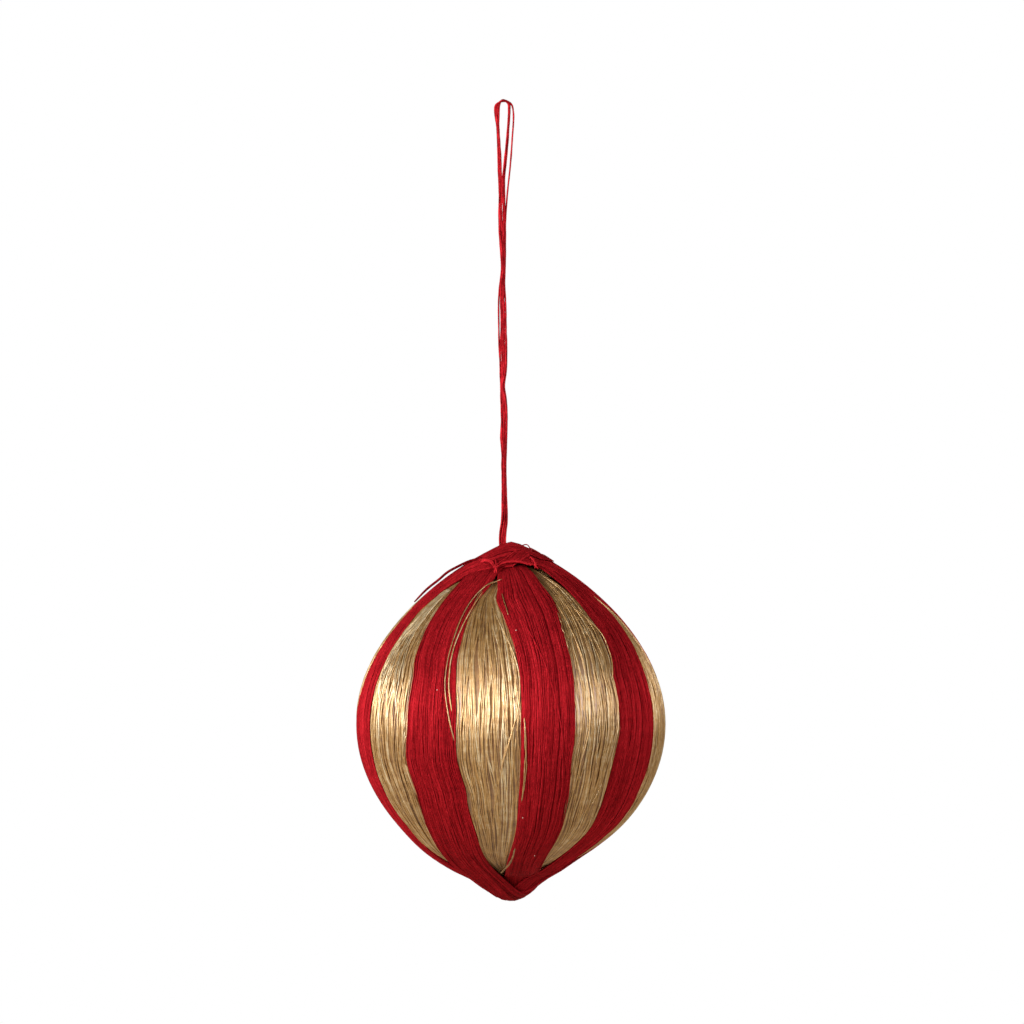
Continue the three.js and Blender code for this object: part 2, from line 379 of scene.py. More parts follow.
def makeWinding(name, edges, count, diameter, sides, depth, look, number, material, nodes):
    # One winding: threads that lie side by side round both poles, over a ribbed band of packed thread
    rng = np.random.default_rng(look["seed"] + number)
    turn = windingTurns
    steps = len(turn)
    longitude, middle, half = edges
    share = (np.arange(count) + 0.5) / count * 2 - 1
    clump = clumpsOf(rng, count, *look["clump"])
    clumps = clump.max() + 1
    centre = np.bincount(clump, share) / np.bincount(clump)
    reachOut = np.bincount(clump) / count
    gather = winding["gatherSpread"] * wander(rng, clumps, turn, winding["gatherWaves"])
    gather = look["gather"] * np.clip(winding["gatherMean"] + gather, 0, winding["gatherLimit"])
    inner = (share - centre[clump])[:, None] * (1 - gather[clump])
    equatorHalf = half.max()
    sway = (look["clumpSway"] * wander(rng, clumps, turn, look["clumpWaves"])[clump]
            + look["threadSway"] * wander(rng, count, turn, look["threadWaves"])) / equatorHalf
    place = np.clip(centre[clump][:, None] + inner + sway, -winding["placeLimit"], winding["placeLimit"])
    if look["loose"]:
        loose = rng.choice(count, look["loose"], replace=False)
        start = rng.uniform(-winding["looseStart"], winding["looseStart"], (look["loose"], 1))
        start = start + look["looseSway"] * wander(rng, look["loose"], turn, winding["looseWaves"])
        place[loose] = np.clip(start, -winding["looseLimit"], winding["looseLimit"])
    crown = look["crown"] * ((inner / np.maximum(reachOut[clump], 1e-6)[:, None]) ** 2)
    sink = (crown + look["clumpSink"] * np.abs(wander(rng, clumps, turn, winding["clumpSinkWaves"]))[clump]
            + look["threadSink"] * np.abs(wander(rng, count, turn, look["sinkWaves"])))
    if look["loose"]:
        sink[loose] = -winding["looseLift"]
    sink = sink + look["edgeSink"] * (1 - stepDown(np.abs(place), *winding["edge"]))
    turns = np.broadcast_to(turn, place.shape)
    paths, outward = onBall(turns, middle + half * place, depth + sink + diameter / 2, longitude)
    radii = diameter / 2 * (1 + winding["uneven"] * wander(rng, count, turn, winding["unevenWaves"]))
    points = tubeGrid(paths, outward, radii, sides, True).reshape(-1, 3)
    lengths = lengthsOf(paths, True)
    bedRows = winding["bedRows"]
    faces, uvs = gridFaces(count, steps, sides, True, lengths, rows=count + bedRows)
    ownTone = look["threadTone"] * rng.normal(0, 1, (count, 1))
    if look["loose"]:
        ownTone[loose] *= winding["looseTone"]
    # The pole term is painted shade: it darkens the threads near both poles, where they dive under the
    # crossing windings
    tone = (0.5 + look["clumpTone"] * wander(rng, clumps, turn, winding["clumpToneWaves"])[clump] + ownTone
            + look["alongTone"] * wander(rng, count, turn, winding["alongToneWaves"])
            + look["paintedPoleShade"] * sum(poleFade(turn, winding["paintedPoleShadeSpread"])))
    tints = np.repeat(np.clip(tone, 0, 1).ravel(), sides)
    seeds = np.repeat(rng.uniform(0, 1, count), steps * sides)
    bedPoints = packedBed(edges, turn, depth, look)
    across = 2 * winding["strip"]
    bedFaces, bedUvs = gridFaces(1, steps, across, True, lengths.mean(), rows=(count + bedRows) / bedRows,
                                 firstRow=count / bedRows, threads=across)
    faces.append(bedFaces[0] + len(points))
    uvs.append(bedUvs[0])
    points = np.concatenate([points, bedPoints])
    # The bed takes a darker tone than the threads: painted shade in the gaps between them
    tints = np.concatenate([tints, np.full(len(bedPoints), look["bedShadeTone"])])
    seeds = np.concatenate([seeds, np.tile(np.arange(across) * winding["bedSeed"] % 1, steps)])
    piece = addMesh(name, points, faces, uvs, tints, seeds, material)
    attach(piece, "root")
    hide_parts(*nodes)
    return piece


# Finishes
def newGroup(name, inputs, outputs):
    tree = bpy.data.node_groups.new(name, "ShaderNodeTree")
    for kind, sockets in (("INPUT", inputs), ("OUTPUT", outputs)):
        for label, socketType in sockets:
            tree.interface.new_socket(label, in_out=kind, socket_type=socketType)
    return tree, tree.nodes.new("NodeGroupInput"), tree.nodes.new("NodeGroupOutput")


def addNode(tree, kind, **settings):
    # A node with its own settings, and with the values of its inputs where the name is a socket's
    node = tree.nodes.new(kind)
    for key, value in settings.items():
        if hasattr(node, key):
            setattr(node, key, value)
        else:
            node.inputs[key.replace("_", " ")].default_value = value
    return node


def mathNode(tree, operation, first, second=None, third=None, clamp=False):
    node = addNode(tree, "ShaderNodeMath", operation=operation, use_clamp=clamp)
    for slot, value in enumerate((first, second, third)):
        if value is None:
            continue
        if isinstance(value, (int, float)):
            node.inputs[slot].default_value = value
        else:
            tree.links.new(value, node.inputs[slot])
    return node.outputs[0]


def newMaterial(name):
    material = bpy.data.materials.new(name)
    material.use_nodes = True
    tree = material.node_tree
    return material, tree, tree.nodes["Principled BSDF"]


def mixColour(tree, factor, first, second):
    node = addNode(tree, "ShaderNodeMix", data_type="RGBA")
    for socket, value in ((node.inputs[0], factor), (node.inputs[6], first), (node.inputs[7], second)):
        if isinstance(value, (int, float, tuple)):
            socket.default_value = value
        else:
            tree.links.new(value, socket)
    return node.outputs[2]


# What all the spun thread shares
spun = {
    "slowNoise": 48.0, "quickNoise": 820.0,     # waves per metre along the thread
    "slowPlace": 3.0, "quickPlace": 7.0,        # where on the noise each of them is read
    "neighbours": 91.0,                         # how far apart on the noise two seeds lie
    "cloudScale": (210.0, 210.0, 520.0),
    "detail": 2.0, "roughness": 0.6,
    "plies": 2, "seedPhase": 300.0,
    "quickRelief": 0.6,
    "reliefDepth": 0.05 * mm,
}


def threadGroup():
    # Colour, roughness and relief of spun thread. Along is in metres, Around goes 0 to 1 round the thread,
    # Tone is its own brightness, Seed tells neighbours apart and Twists are turns of its ply per metre.
    # Clouds is how much wide soft patches, laid across the threads, change the tone.
    tree, given, made = newGroup(
        "spunThread",
        [("Dark", "NodeSocketColor"), ("Middle", "NodeSocketColor"), ("Light", "NodeSocketColor"),
         ("Along", "NodeSocketFloat"), ("Around", "NodeSocketFloat"), ("Tone", "NodeSocketFloat"),
         ("Seed", "NodeSocketFloat"), ("Streaks", "NodeSocketFloat"), ("Glints", "NodeSocketFloat"),
         ("Twists", "NodeSocketFloat"), ("Rough", "NodeSocketFloat"), ("Rougher", "NodeSocketFloat"),
         ("Place", "NodeSocketVector"), ("Clouds", "NodeSocketFloat")],
        [("Color", "NodeSocketColor"), ("Roughness", "NodeSocketFloat"), ("Height", "NodeSocketFloat")])
    take = {socket.name: socket for socket in given.outputs}

    def noiseAt(place):
        noise = addNode(tree, "ShaderNodeTexNoise", Scale=1.0, Detail=spun["detail"],
                        Roughness=spun["roughness"])
        tree.links.new(place.outputs[0], noise.inputs["Vector"])
        return noise.outputs["Fac"]

    def alongNoise(waves, offset):
        # Noise that changes along a thread and from one thread to the next, but not round it
        place = addNode(tree, "ShaderNodeCombineXYZ")
        tree.links.new(mathNode(tree, "MULTIPLY", take["Along"], waves), place.inputs[0])
        beside = mathNode(tree, "MULTIPLY_ADD", take["Seed"], spun["neighbours"], 0.5)
        tree.links.new(beside, place.inputs[1])
        place.inputs[2].default_value = offset
        return noiseAt(place)

    def swing(noise, amount):
        # Noise about its middle value, by how strong the material has it
        return mathNode(tree, "MULTIPLY", mathNode(tree, "SUBTRACT", noise, 0.5), take[amount])

    slow = alongNoise(spun["slowNoise"], spun["slowPlace"])
    quick = alongNoise(spun["quickNoise"], spun["quickPlace"])
    flattened = addNode(tree, "ShaderNodeMapping", Scale=spun["cloudScale"])
    tree.links.new(take["Place"], flattened.inputs["Vector"])
    streaked = mathNode(tree, "ADD", take["Tone"], swing(slow, "Streaks"))
    changes = mathNode(tree, "ADD", swing(quick, "Glints"), swing(noiseAt(flattened), "Clouds"))
    tone = mathNode(tree, "ADD", streaked, changes, clamp=True)
    lower = mathNode(tree, "MULTIPLY", tone, 2.0, clamp=True)
    upper = mathNode(tree, "SUBTRACT", mathNode(tree, "MULTIPLY", tone, 2.0), 1.0, clamp=True)
    colour = mixColour(tree, upper, mixColour(tree, lower, take["Dark"], take["Middle"]), take["Light"])
    tree.links.new(colour, made.inputs["Color"])
    rough = mathNode(tree, "MULTIPLY_ADD", quick, take["Rougher"], take["Rough"])
    tree.links.new(rough, made.inputs["Roughness"])
    winds = mathNode(tree, "MULTIPLY", mathNode(tree, "MULTIPLY", take["Along"], take["Twists"]), 2 * np.pi)
    started = mathNode(tree, "ADD", winds, mathNode(tree, "MULTIPLY", take["Seed"], spun["seedPhase"]))
    phase = mathNode(tree, "MULTIPLY_ADD", take["Around"], 2 * np.pi * spun["plies"], started)
    ply = mathNode(tree, "MULTIPLY_ADD", mathNode(tree, "SINE", phase), 0.5, 0.5)
    height = mathNode(tree, "ADD", ply, mathNode(tree, "MULTIPLY", quick, spun["quickRelief"]))
    tree.links.new(height, made.inputs["Height"])
    return tree


def threadMaterial(name, group, finish):
    material, tree, surface = newMaterial(name)
    thread = addNode(tree, "ShaderNodeGroup")
    thread.node_tree = group
    for label, value in finish["values"].items():
        thread.inputs[label].default_value = value
    places = addNode(tree, "ShaderNodeUVMap", uv_map="thread")
    parts = addNode(tree, "ShaderNodeSeparateXYZ")
    tree.links.new(places.outputs[0], parts.inputs[0])
    tree.links.new(parts.outputs[0], thread.inputs["Along"])
    tree.links.new(parts.outputs[1], thread.inputs["Around"])
    tree.links.new(addNode(tree, "ShaderNodeTexCoord").outputs["Object"], thread.inputs["Place"])
    for attribute, label in (("tint", "Tone"), ("seed", "Seed")):
        source = addNode(tree, "ShaderNodeAttribute", attribute_name=attribute)
        tree.links.new(source.outputs["Fac"], thread.inputs[label])
    lie = addNode(tree, "ShaderNodeTangent", direction_type="UV_MAP", uv_map="thread")
    tree.links.new(lie.outputs[0], surface.inputs["Tangent"])
    bump = addNode(tree, "ShaderNodeBump", Strength=finish["bump"], Distance=spun["reliefDepth"])
    tree.links.new(thread.outputs["Height"], bump.inputs["Height"])
    tree.links.new(bump.outputs[0], surface.inputs["Normal"])
    tree.links.new(thread.outputs["Color"], surface.inputs["Base Color"])
    tree.links.new(thread.outputs["Roughness"], surface.inputs["Roughness"])
    for label, value in finish["shader"].items():
        surface.inputs[label].default_value = value
    return material


redFinish = {
    "values": {"Dark": (0.12, 0.0023, 0.0045, 1), "Middle": (0.335, 0.0088, 0.0142, 1),
               "Light": (0.60, 0.023, 0.034, 1), "Streaks": 0.4, "Glints": 1.15, "Clouds": 0.25,
               "Twists": 900.0, "Rough": 0.46, "Rougher": 0.2},
    "bump": 0.5,
    "shader": {"Metallic": 0.42, "Specular IOR Level": 0.08, "Specular Tint": (0.80, 0.14, 0.17, 1),
               "Anisotropic": 0.3, "Anisotropic Rotation": 0.25},
}
goldFinish = {
    "values": {"Dark": (0.20, 0.078, 0.017, 1), "Middle": (0.515, 0.292, 0.076, 1),
               "Light": (0.76, 0.66, 0.44, 1), "Streaks": 0.45, "Glints": 0.5, "Clouds": 0.7,
               "Twists": 520.0, "Rough": 0.46, "Rougher": 0.08},
    "bump": 0.25,
    "shader": {"Metallic": 0.78, "Specular IOR Level": 0.5, "Specular Tint": (0.92, 0.66, 0.36, 1),
               "Coat Weight": 0.8, "Coat Roughness": 0.38, "Coat IOR": 2.0,
               "Anisotropic": 0.5, "Anisotropic Rotation": 0.25},
}
spunThread = threadGroup()
redMaterial = threadMaterial("red_thread", spunThread, redFinish)
goldMaterial = threadMaterial("gold_thread", spunThread, goldFinish)


# Camera
view = {
    "middle": (2.59 * mm, -132.7 * mm),   # what the middle of the picture looks at, across and up
    "width": 331.4 * mm,                  # what the picture takes in at the ornament
    "lens": 200,
    "sensor": 36,
    "clipEnd": 50,
}


def makeCamera():
    data = bpy.data.cameras.new("camera")
    data.lens, data.sensor_width = view["lens"], view["sensor"]
    data.clip_end = view["clipEnd"]
    camera = bpy.data.objects.new("camera", data)
    camera.location = (view["middle"][0], -view["width"] * view["lens"] / view["sensor"], view["middle"][1])
    camera.rotation_euler = (np.pi / 2, 0, 0)
    bpy.context.collection.objects.link(camera)
    bpy.context.scene.camera = camera


makeCamera()
print("camera ready")


# The hanging loop
hangingLoop = {
    "diameter": 0.62 * mm,
    "steps": 900,
    "sides": 9,
    "plyTurns": 110, "lobes": 3, "lobeDepth": 0.08,
    "uneven": 0.05, "unevenWaves": (20, 90),
    "tone": 0.54, "toneSpread": 0.1, "toneWaves": (5, 60),
    "seed": 12, "ownSeed": 0.23,
    # Upper part, strand by strand: mm down, mm across and mm to the front
    "left": [[(0.9, -2.20, 0.1), (2.9, -2.52, 0.1), (8.1, -2.07, 0.3), (16.8, -1.62, -0.3),
              (22.0, -1.46, 0.2), (28.5, -1.40, 0.35)],
             [(0.9, -1.80, 0.0), (2.9, -2.05, 0.0), (8.1, -1.87, -0.3), (16.8, -1.36, 0.3),
              (22.0, -1.20, -0.3), (28.5, -1.00, -0.35)],
             [(0.9, -2.62, 0.1), (2.9, -2.97, 0.1), (8.1, -2.28, -0.1), (16.8, -1.92, 0.1),
              (22.0, -1.80, -0.1), (28.5, -1.52, -0.30)],
             [(0.9, -1.42, -0.1), (2.9, -1.62, -0.1), (8.1, -1.72, 0.1), (16.8, -1.13, -0.1),
              (22.0, -0.97, 0.3), (28.5, -0.80, 0.35)]],
    "arch": [(-0.48, -0.5, 0.45), (-0.36, -0.4, 0.0), (-0.26, -0.3, -0.45), (-0.66, -0.6, -0.2)],
    "right": [[(0.5, 1.25, 0.4), (2.9, 1.50, 0.4), (12.6, 0.84, 0.4), (20.7, 0.00, 0.4), (24.3, -0.34, 0.4),
               (29.0, -0.28, 0.4)],
              [(0.4, 1.45, 0.0), (2.9, 1.68, -0.1), (12.6, 1.26, -0.1), (20.7, 0.52, 0.1),
               (24.3, 0.16, 0.1), (29.0, 0.14, 0.1)],
              [(0.3, 1.62, -0.4), (2.9, 1.86, -0.5), (12.6, 1.06, -0.4), (20.7, 0.28, -0.2),
               (24.3, -0.10, -0.3), (29.0, -0.10, -0.4)],
              [(0.6, 2.25, 0.0), (3.2, 3.02, 0.0), (12.6, 2.62, 0.0), (20.7, 2.02, 0.0),
               (29.0, 1.15, 0.0)]],
    # Column and row of each strand's left pass in the bundle, then of its right pass
    "lies": [(-1.5, 0.5, 0.5, -0.5), (-0.5, 0.5, 1.5, -0.5), (-1.5, -0.5, 0.5, 0.5),
             (-0.5, -0.5, 1.5, 0.5)],
    # The bundle's middle: mm down, mm across, and how many half turns it has swayed round
    "bundle": [(36.0, -0.52, 0.0), (42.0, -0.45, 0.1), (48.5, -0.33, 0.27), (53.7, -0.23, 0.38),
               (59.0, -0.55, 0.25), (64.0, -0.38, 0.05), (72.0, -0.22, 0.0), (80.3, -0.32, 0.0),
               (87.4, -0.32, -0.18), (91.6, -0.49, -0.39), (96.5, -0.16, -0.2), (102.9, 0.08, 0.0),
               (108.7, -0.05, 0.14), (113.0, 0.02, 0.31), (118.0, 0.02, 0.36), (124.0, 0.02, 0.35),
               (130.0, 0.10, 0.29), (135.3, 0.10, 0.2), (139.5, -0.26, 0.05), (142.7, -0.39, 0.0),
               (146.5, -0.10, 0.0)],
    # Passes that come away from the rest: strand, leg (-1 left), from and to as mm down, and mm across
    "apart": [(0, -1, 31, 44, -0.25), (3, 1, 31, 42, 0.25), (0, -1, 62, 81, -0.6), (2, -1, 62, 81, 0.15),
              (3, 1, 79, 88, 0.4), (2, -1, 133, 144, -0.3)],
    "columns": 0.56 * mm,
    "rows": 0.55 * mm,
    "looseness": 0.04 * mm,
}


# How many places a chosen point to measure a curve's length by, and how often they are evened out
spline = {"perPoint": 12, "rounds": 3}


def splineThrough(points, count):
    # A smooth curve through chosen points: cubic pieces whose slope at a point runs from its last
    # neighbour to its next, sampled evenly by length
    points = np.asarray(points, float)
    gaps = np.sqrt(np.linalg.norm(np.diff(points, axis=0), axis=1))
    at = np.concatenate([[0], np.cumsum(gaps)])
    slope = np.gradient(points, at, axis=0)

    def curve(where):
        piece = np.clip(np.searchsorted(at, where, side="right") - 1, 0, len(points) - 2)
        width = (at[piece + 1] - at[piece])[:, None]
        t = (where - at[piece])[:, None] / width
        return ((2 * t ** 3 - 3 * t ** 2 + 1) * points[piece]
                + (t ** 3 - 2 * t ** 2 + t) * width * slope[piece]
                + (3 * t ** 2 - 2 * t ** 3) * points[piece + 1]
                + (t ** 3 - t ** 2) * width * slope[piece + 1])

    where = np.linspace(0, at[-1], spline["perPoint"] * len(points))
    for _ in range(spline["rounds"]):
        length = np.concatenate([[0], np.cumsum(np.linalg.norm(np.diff(curve(where), axis=0), axis=1))])
        where = np.interp(np.linspace(0, length[-1], count), length, where)
    return curve(where)


def strandPoints(number, rng):
    # One strand's middle line, from the ball up its left leg, round the top and down its right leg.
    # In the bundle the eight passes lie four abreast and two deep, and the whole sways round and back.
    down, across, halfTurns = np.array(hangingLoop["bundle"]).T
    turn = np.pi * halfTurns
    legs = []
    lies = np.reshape(hangingLoop["lies"][number], (2, 2)) * (hangingLoop["columns"], hangingLoop["rows"])
    for side, upper, (column, row) in zip((-1, 1), ("left", "right"), lies):
        drift = rng.normal(0, hangingLoop["looseness"], (2, len(down)))
        x = across * mm + column * np.cos(turn) - row * np.sin(turn) + drift[0]
        y = column * np.sin(turn) + row * np.cos(turn) + drift[1]
        for strand, leg, start, stop, offset in hangingLoop["apart"]:
            if (strand, leg) == (number, side):
                x = x + offset * mm * np.exp(-((down - (start + stop) / 2) / (stop - start) * 2) ** 4)
        top = np.array([(a * mm, -f * mm, -d * mm) for d, a, f in hangingLoop[upper][number]])
        legs.append(np.concatenate([top, np.stack([x, y, -down * mm], 1)]))
    below, across, front = hangingLoop["arch"][number]
    arch = np.array([[across * mm, -front * mm, -below * mm]])
    return np.concatenate([legs[0][::-1], arch, legs[1]])


def makeLoop():
    # Each strand is a tube with the lobes of its plies, which turn as it goes
    rng = np.random.default_rng(hangingLoop["seed"])
    for number in range(len(hangingLoop["lies"])):
        path = splineThrough(strandPoints(number, rng), hangingLoop["steps"])
        outward = np.broadcast_to(np.array([0.0, -1.0, 0.0]), path.shape)
        along = np.linspace(0, 2 * np.pi, len(path))
        radii = hangingLoop["diameter"] / 2 * (
            1 + hangingLoop["uneven"] * wander(rng, 1, along, hangingLoop["unevenWaves"]))
        turns = hangingLoop["plyTurns"] * along
        grid = tubeGrid(path[None], outward[None], radii, hangingLoop["sides"], False,
                        lobes=hangingLoop["lobes"], lobeDepth=hangingLoop["lobeDepth"], turns=turns[None])
        faces, uvs = gridFaces(1, len(path), hangingLoop["sides"], False, lengthsOf(path[None], False))
        tone = hangingLoop["tone"] + hangingLoop["toneSpread"] * rng.normal()
        tone = tone + hangingLoop["toneSpread"] * wander(rng, 1, along, hangingLoop["toneWaves"])[0]
        name = f"hanging_strand_{number + 1}"
        tints = np.repeat(np.clip(tone, 0, 1), hangingLoop["sides"])
        seeds = np.full(len(tints), number * hangingLoop["ownSeed"])
        piece = addMesh(name, grid.reshape(-1, 3), faces, uvs, tints, seeds, redMaterial)
        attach(piece, "root")
        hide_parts(f"loop_strand_{number + 1}")


makeLoop()
print("hanging loop ready")


# The windings
redLook = {
    "seed": 40,
    "clump": (3, 6), "gather": 0.07, "crown": 0.05 * mm,
    "clumpSway": 0.10 * mm, "clumpWaves": (2, 8), "threadSway": 0.08 * mm, "threadWaves": (3, 16),
    "clumpSink": 0.04 * mm, "threadSink": 0.05 * mm, "sinkWaves": (3, 24),
    # The negative pole tone is painted shade near the poles
    "clumpTone": 0.05, "threadTone": 0.09, "alongTone": 0.05, "paintedPoleShade": -0.12,
    # The bed's low tone is painted shade between the threads
    "bedDepth": 0.36 * mm, "bedThickness": 0.4 * mm, "bedWidth": 0.985, "ribs": 0.06 * mm, "bedShadeTone": 0.25,
    "loose": 3, "looseSway": 0.25, "edgeSink": 0.0,
}
goldLook = {
    "seed": 60,
    "clump": (2, 5), "gather": 0.14, "crown": 0.08 * mm,
    "clumpSway": 0.30 * mm, "clumpWaves": (2, 8), "threadSway": 0.26 * mm, "threadWaves": (3, 16),
    "clumpSink": 0.05 * mm, "threadSink": 0.09 * mm, "sinkWaves": (3, 24),
    # The negative pole tone is painted shade near the poles
    "clumpTone": 0.06, "threadTone": 0.17, "alongTone": 0.03, "paintedPoleShade": -0.30,
    # The bed's low tone is painted shade between the threads
    "bedDepth": 0.42 * mm, "bedThickness": 0.4 * mm, "bedWidth": 1.0, "ribs": 0.08 * mm, "bedShadeTone": 0.12,
    "loose": 9, "looseSway": 0.18, "edgeSink": 0.4 * mm,
}


def makeRedWindings():
    # Near a pole each winding lies one layer deeper for every one that crosses over it
    polar = polarOf(windingTurns)
    topFade = stepDown(polar, *redBands["layerFade"])
    bottomFade = stepDown(np.pi - polar, *redBands["layerFade"])
    for number in range(windings):
        under = ((windings - 1 - redBands["topOrder"][number]) * topFade
                 + (windings - 1 - redBands["bottomOrder"][number]) * bottomFade) * redBands["layer"]
        edges = redEdges(number, windingTurns)
        piece = makeWinding(
            f"red_winding_{number + 1}", edges, redBands["threads"], redBands["diameter"],
            fineness["redSides"], under, redLook, number, redMaterial,
            (f"red_band_{number + 1}", f"red_band_{number + 1 + windings}"))


def makeGoldWindings():
    # The gold lies a little lower than the red, and passes under it at the poles
    topFade, bottomFade = poleFade(windingTurns, goldBands["poleSpread"])
    under = goldBands["sunk"] + goldBands["poleDepth"] * (topFade + bottomFade)
    for number in range(windings):
        edges = goldEdges(number, windingTurns)
        count = int(round(2 * edges[2].max() / goldBands["pitch"]))
        piece = makeWinding(
            f"gold_winding_{number + 1}", edges, count, goldBands["diameter"], fineness["goldSides"], under,
            goldLook, number, goldMaterial,
            (f"gold_band_{number + 1}", f"gold_band_{number + 1 + windings}"))


makeRedWindings()
print("red windings ready")
makeGoldWindings()
print("gold windings ready")


# Stray threads, the tie at the top and the small things on the surface
def onSurface(places, lift):
    # Points lifted off the wound surface at degrees from the top pole and degrees of longitude
    polar, longitude = np.asarray(places, float).T * deg
    way = np.stack([np.sin(polar) * np.sin(longitude), -np.sin(polar) * np.cos(longitude), np.cos(polar)], 1)
    return settled(ballCentre + (woundSurface(polar) + lift)[:, None] * way), way


# What all stray threads share, unless their own settings say otherwise
strays = {
    "copies": 1, "apart": 0.0,          # how many lie side by side, and how many degrees apart
    "dive": 6,                          # how suddenly the ends sink
    "blunt": False,                     # whether the last end lies open instead of sinking
    "bluntPace": 1.6,                   # how soon such a thread has come up from its first end
    "leastSine": 0.2,                   # keeps copies from spreading far apart near a pole
    "sides": 6, "uneven": 0.1, "unevenWaves": (2, 12), "shakeWaves": (1, 6),
    "toneSpread": 0.12, "toneAlong": 0.06, "toneWaves": (2, 20),
}


def makeStrays(name, material, own):
    # Single threads, each along its own list of places. They stand a little off the surface in the
    # middle, and their ends sink into it.
    settings = {**strays, **own}
    rng = np.random.default_rng(settings["seed"])
    steps, sides = settings["steps"], settings["sides"]
    paths, outward = [], []
    along = np.linspace(0, 1, steps)
    turn = along * 2 * np.pi
    for places in settings["paths"]:
        for copy in range(settings["copies"]):
            shift = (copy - (settings["copies"] - 1) / 2) * settings["apart"]
            even = splineThrough(places, steps)
            middle = np.sin(np.pi * along)
            roundness = np.maximum(np.sin(even[:, 0] * deg), settings["leastSine"])
            even[:, 1] += shift * middle ** 0.5 / roundness
            even[:, 1] += settings["shake"] * wander(rng, 1, turn, settings["shakeWaves"])[0] * middle
            ends = middle
            if settings["blunt"]:
                ends = np.sin(np.pi / 2 * np.minimum(along * settings["bluntPace"], 1))
            lift = settings["lift"] - settings["sink"] * (1 - ends) ** settings["dive"]
            points, way = onSurface(even, lift)
            paths.append(points)
            outward.append(way)
    paths, outward = np.array(paths), np.array(outward)
    radii = settings["diameter"] / 2 * (
        1 + settings["uneven"] * wander(rng, len(paths), turn, settings["unevenWaves"]))
    grid = tubeGrid(paths, outward, radii, sides, False)
    faces, uvs = gridFaces(len(paths), steps, sides, False, lengthsOf(paths, False))
    tone = settings["tone"] + settings["toneSpread"] * rng.normal(0, 1, (len(paths), 1))
    tone = np.clip(tone + settings["toneAlong"] * wander(rng, len(paths), turn, settings["toneWaves"]), 0, 1)
    piece = addMesh(name, grid.reshape(-1, 3), faces, uvs, np.repeat(tone.ravel(), sides),
                    np.repeat(rng.uniform(0, 1, len(paths)), steps * sides), material)
    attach(piece, "root")


goldStrays = {
    "paths": [[(23.5, -7.0), (26.0, -12.8), (28.8, -20.0), (35.8, -25.0), (45.9, -26.7), (59.1, -27.0),
               (71.0, -26.3), (81.1, -24.3), (95.9, -20.6)],
              [(30.5, -20.0), (45.4, -24.0), (58.0, -25.3), (70.0, -24.9), (84.4, -22.0)],
              [(40, 39.0), (46, 43.5), (50.3, 46.2), (54.8, 47.4), (63.1, 46.0), (71.4, 43.4)],
              [(92.3, -41.6), (98.6, -43.8), (104.1, -43.5)],
              [(110.7, 38.3), (114.5, 37.7), (119.7, 36.5)]],
    "shake": 0.12, "seed": 81, "steps": 70, "diameter": 0.36 * mm,
    "lift": 0.14 * mm, "sink": 0.6 * mm, "tone": 0.52,
}
dimStrays = {
    # Gold that shows only faintly between the red threads
    "paths": [[(31.8, -6.4), (37, -4.0), (43.4, -1.5)], [(41.4, 26.5), (50.3, 25.8), (59.0, 25.5)],
              [(25.5, -13.5), (27.5, -18.5), (31.0, -21.5), (38, -22.8)]],
    "shake": 0.12, "seed": 86, "steps": 60, "diameter": 0.28 * mm,
    "lift": 0.02 * mm, "sink": 0.6 * mm, "tone": 0.3,
}
goldSlivers = {
    # Gold that shows where the red threads part
    "paths": [[(84.8, 4.7), (97.1, 5.4), (106, 5.3), (118.5, 4.4)],
              [(141.2, 4.4), (151.0, 3.2), (159.7, -6.6)]],
    "copies": 2, "apart": 0.36, "shake": 0.10, "seed": 82, "steps": 60, "diameter": 0.32 * mm,
    "lift": 0.03 * mm, "sink": 0.6 * mm, "tone": 0.30,
}
goldOverlap = {
    # Gold that runs over the first red winding, at the left of the view
    "paths": [[(37 - 1.5 * n + n * 5 % 4, -80 - 1.2 * n), (45, -81.3 - 1.15 * n), (60, -81.8 - 1.1 * n),
               (72, -83 - 1.1 * n), (80 + 2.3 * n + n * 7 % 5, -85 - 1.05 * n)] for n in range(12)],
    "shake": 0.12, "seed": 83, "steps": 60, "diameter": 0.42 * mm,
    "lift": -0.02 * mm, "sink": 1.1 * mm, "dive": 4, "tone": 0.5,
}
goldHighlightStreaks = {
    # Threads that slant over the upper part of the first gold band at the left of the view; their pale tone
    # is painted highlight
    "paths": [[(29 + n % 3 * 1.5, -56.8 + 0.45 * n), (45, -58.9 + 0.6 * n), (55, -61.9 + 0.8 * n),
               (66, -62.9 + 1.15 * n), (76 + n % 4 * 3, -62.9 + 1.4 * n)] for n in range(13)],
    "shake": 0.3, "seed": 89, "steps": 60, "diameter": 0.38 * mm,
    # The high tone is painted highlight
    "lift": 0.0, "sink": 0.8 * mm, "dive": 4, "tone": 0.76,
}
capThreads = {
    # Threads that slant over the top from the tie to the far side
    "paths": [[(16.4 - 0.1 * n, -18 + 1.3 * n), (12 - 0.1 * n, -9 + 2.9 * n),
               (7.5 - 0.06 * n, 18 + 4.2 * n), (9.0 + 0.2 * n, 80 + 2.6 * n),
               (15 + n * 7 % 9, 104 + 2.4 * n)] for n in range(16)],
    "shake": 0.5, "seed": 84, "steps": 60, "diameter": 0.34 * mm,
    "lift": 0.30 * mm, "sink": 1.5 * mm, "dive": 3, "tone": 0.46,
}
cutEnd = {
    # The flat end of thread that lies cut off at the right of the top
    "paths": [[(6.5 + 0.1 * n, 5 + 3 * n), (9.0 + 0.32 * n, 45), (11.2 + 0.36 * n, 88 - 0.8 * n)]
              for n in range(11)],
    "shake": 0.25, "seed": 87, "steps": 40, "diameter": 0.36 * mm,
    "lift": 0.42 * mm, "sink": 0.9 * mm, "tone": 0.30, "blunt": True,
}
